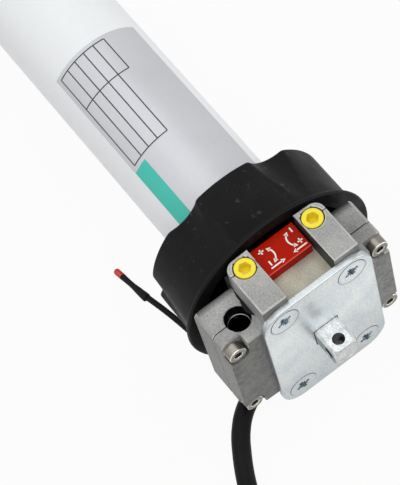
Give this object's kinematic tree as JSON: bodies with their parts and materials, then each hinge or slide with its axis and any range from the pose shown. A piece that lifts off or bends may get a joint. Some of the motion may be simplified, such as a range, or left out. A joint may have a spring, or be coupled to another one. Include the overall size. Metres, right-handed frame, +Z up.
{
  "type": "tubular roller blind motor",
  "caption": "Tubular motor for a roller blind or shutter: die-cast head with square pin, limit adjusters and crank socket, crown, tube with planetary gearbox, drive wheel, cable and aerial.",
  "frame": {"origin": "on the motor's axis, where the square pin leaves the mounting plate's outer face", "axes": "+X along the motor's axis, out through the pin; +Z up on the side of the limit adjusters; the tube lies towards -X"},
  "size_m": [0.7619, 0.1134, 0.08],
  "materials": {
    "casting": "fine sand-textured die casting",
    "zinc_plate": "bright zinc plating, bluish, slightly blurred",
    "nickel_screw": "turned, warm nickel tint",
    "red_sign": "glossy red with white direction signs",
    "yellow_adjuster": "glossy yellow",
    "natural_plastic": "natural acetal",
    "switch_black": "black moulding",
    "gear_steel": "cut steel, oiled",
    "bronze": "sintered bronze",
    "crown_black": "satin black moulding",
    "spring_steel": "phosphated steel, dark",
    "shield_metal": "turned die casting",
    "white_tube": "white powder coat, satin gloss, silver-grey label place",
    "board_green": "green solder mask",
    "capacitor_dark": "dark moulded can",
    "brake_metal": "dark coated steel",
    "friction_lining": "pressed friction lining",
    "lamination": "stacked electrical steel",
    "copper": "enamelled copper wire",
    "cable_black": "matt black cable sheath",
    "tie_black": "black nylon",
    "core_brown": "brown core insulation",
    "core_blue": "blue core insulation",
    "core_earth": "green and yellow core insulation",
    "tin": "tinned copper",
    "red_tip": "glossy red sealed tip"
  },
  "bodies": {
    "head": {"front_housing": "casting", "rear_housing": "casting", "mounting_plate": "zinc_plate", "bracket_pin": "zinc_plate", "plate_screws": "zinc_plate", "housing_screws": "nickel_screw", "direction_block": "red_sign", "limit_switches": "switch_black", "crown_circlip": "spring_steel", "cable_gland": "cable_black", "mains_cable": "cable_black", "cable_coil": "cable_black", "coil_tie": "tie_black", "brown_core": "core_brown", "blue_core": "core_blue", "earth_core": "core_earth", "core_ferrules": "tin", "aerial_grommet": "cable_black", "aerial_lead": "cable_black", "aerial_sleeve": "cable_black", "aerial_tip": "red_tip"},
    "left_adjuster": {"left_adjuster": "yellow_adjuster"},
    "right_adjuster": {"right_adjuster": "yellow_adjuster"},
    "limit_shaft": {"limit_pinion": "switch_black", "limit_cams": "natural_plastic"},
    "worm": {"worm_shaft": "spring_steel"},
    "crown": {"crown": "crown_black"},
    "tube_unit": {"worm_wheel": "bronze", "tube_neck": "shield_metal", "motor_tube": "white_tube", "board_carrier": "natural_plastic", "receiver_board": "board_green", "capacitor": "capacitor_dark", "brake_body": "brake_metal", "brake_spring_plate": "gear_steel", "rear_shield": "shield_metal", "front_shield": "shield_metal", "motor_bushes": "bronze", "stator_core": "lamination", "stator_winding": "copper", "ring_gear": "gear_steel", "gearbox_cover": "shield_metal", "output_bush": "bronze", "end_cap": "switch_black"},
    "rotor": {"rotor": "gear_steel", "brake_disc": "friction_lining"},
    "first_carrier": {"first_carrier": "gear_steel"},
    "second_carrier": {"second_carrier": "gear_steel"},
    "output": {"third_carrier": "gear_steel", "drive_wheel": "crown_black", "wheel_clip": "spring_steel"},
    "first_planet_a": {"first_planet_a": "gear_steel"},
    "first_planet_b": {"first_planet_b": "gear_steel"},
    "first_planet_c": {"first_planet_c": "gear_steel"},
    "second_planet_a": {"second_planet_a": "gear_steel"},
    "second_planet_b": {"second_planet_b": "gear_steel"},
    "second_planet_c": {"second_planet_c": "gear_steel"},
    "third_planet_a": {"third_planet_a": "gear_steel"},
    "third_planet_b": {"third_planet_b": "gear_steel"},
    "third_planet_c": {"third_planet_c": "gear_steel"}
  },
  "joints": [
    {"name": "tube_turn", "type": "hinge", "parent": "head", "child": "tube_unit", "pos_m": [-0.0494, 0, 0], "axis": [1, 0, 0], "continuous": true},
    {"name": "crank_turn", "type": "hinge", "parent": "head", "child": "worm", "pos_m": [-0.0123, -0.0259, 0], "axis": [0, 0, 1], "continuous": true},
    {"name": "crown_turn", "type": "hinge", "parent": "head", "child": "crown", "pos_m": [-0.04, 0, 0], "axis": [1, 0, 0], "continuous": true},
    {"name": "limit_turn", "type": "hinge", "parent": "head", "child": "limit_shaft", "pos_m": [-0.03, 0, 0.0255], "axis": [1, 0, 0], "continuous": true},
    {"name": "left_adjust", "type": "hinge", "parent": "head", "child": "left_adjuster", "pos_m": [-0.0205, -0.0146, 0.0377], "axis": [0, 0, 1], "continuous": true},
    {"name": "right_adjust", "type": "hinge", "parent": "head", "child": "right_adjuster", "pos_m": [-0.0205, 0.0146, 0.0377], "axis": [0, 0, 1], "continuous": true},
    {"name": "rotor_spin", "type": "hinge", "parent": "tube_unit", "child": "rotor", "pos_m": [-0.42, 0, 0], "axis": [1, 0, 0], "continuous": true},
    {"name": "first_stage", "type": "hinge", "parent": "tube_unit", "child": "first_carrier", "pos_m": [-0.5, 0, 0], "axis": [1, 0, 0], "continuous": true},
    {"name": "second_stage", "type": "hinge", "parent": "tube_unit", "child": "second_carrier", "pos_m": [-0.52, 0, 0], "axis": [1, 0, 0], "continuous": true},
    {"name": "output_turn", "type": "hinge", "parent": "tube_unit", "child": "output", "pos_m": [-0.57, 0, 0], "axis": [1, 0, 0], "continuous": true},
    {"name": "first_planet_a_spin", "type": "hinge", "parent": "first_carrier", "child": "first_planet_a", "pos_m": [-0.5, 0.01155, 0], "axis": [1, 0, 0], "continuous": true},
    {"name": "first_planet_b_spin", "type": "hinge", "parent": "first_carrier", "child": "first_planet_b", "pos_m": [-0.5, -0.00577, 0.01], "axis": [1, 0, 0], "continuous": true},
    {"name": "first_planet_c_spin", "type": "hinge", "parent": "first_carrier", "child": "first_planet_c", "pos_m": [-0.5, -0.00577, -0.01], "axis": [1, 0, 0], "continuous": true},
    {"name": "second_planet_a_spin", "type": "hinge", "parent": "second_carrier", "child": "second_planet_a", "pos_m": [-0.5173, 0.01155, 0], "axis": [1, 0, 0], "continuous": true},
    {"name": "second_planet_b_spin", "type": "hinge", "parent": "second_carrier", "child": "second_planet_b", "pos_m": [-0.5173, -0.00577, 0.01], "axis": [1, 0, 0], "continuous": true},
    {"name": "second_planet_c_spin", "type": "hinge", "parent": "second_carrier", "child": "second_planet_c", "pos_m": [-0.5173, -0.00577, -0.01], "axis": [1, 0, 0], "continuous": true},
    {"name": "third_planet_a_spin", "type": "hinge", "parent": "output", "child": "third_planet_a", "pos_m": [-0.5346, 0.01155, 0], "axis": [1, 0, 0], "continuous": true},
    {"name": "third_planet_b_spin", "type": "hinge", "parent": "output", "child": "third_planet_b", "pos_m": [-0.5346, -0.00577, 0.01], "axis": [1, 0, 0], "continuous": true},
    {"name": "third_planet_c_spin", "type": "hinge", "parent": "output", "child": "third_planet_c", "pos_m": [-0.5346, -0.00577, -0.01], "axis": [1, 0, 0], "continuous": true}
  ],
  "couplings": [
    {"joint": "crank_turn", "follows": "tube_turn", "ratio": 27},
    {"joint": "limit_turn", "follows": "crown_turn", "ratio": 6.6667},
    {"joint": "first_stage", "follows": "rotor_spin", "ratio": 0.21212},
    {"joint": "second_stage", "follows": "rotor_spin", "ratio": 0.044995},
    {"joint": "output_turn", "follows": "rotor_spin", "ratio": 0.0095445},
    {"joint": "first_planet_a_spin", "follows": "rotor_spin", "ratio": -0.58054},
    {"joint": "first_planet_b_spin", "follows": "rotor_spin", "ratio": -0.58054},
    {"joint": "first_planet_c_spin", "follows": "rotor_spin", "ratio": -0.58054},
    {"joint": "second_planet_a_spin", "follows": "rotor_spin", "ratio": -0.12315},
    {"joint": "second_planet_b_spin", "follows": "rotor_spin", "ratio": -0.12315},
    {"joint": "second_planet_c_spin", "follows": "rotor_spin", "ratio": -0.12315},
    {"joint": "third_planet_a_spin", "follows": "rotor_spin", "ratio": -0.026122},
    {"joint": "third_planet_b_spin", "follows": "rotor_spin", "ratio": -0.026122},
    {"joint": "third_planet_c_spin", "follows": "rotor_spin", "ratio": -0.026122}
  ]
}
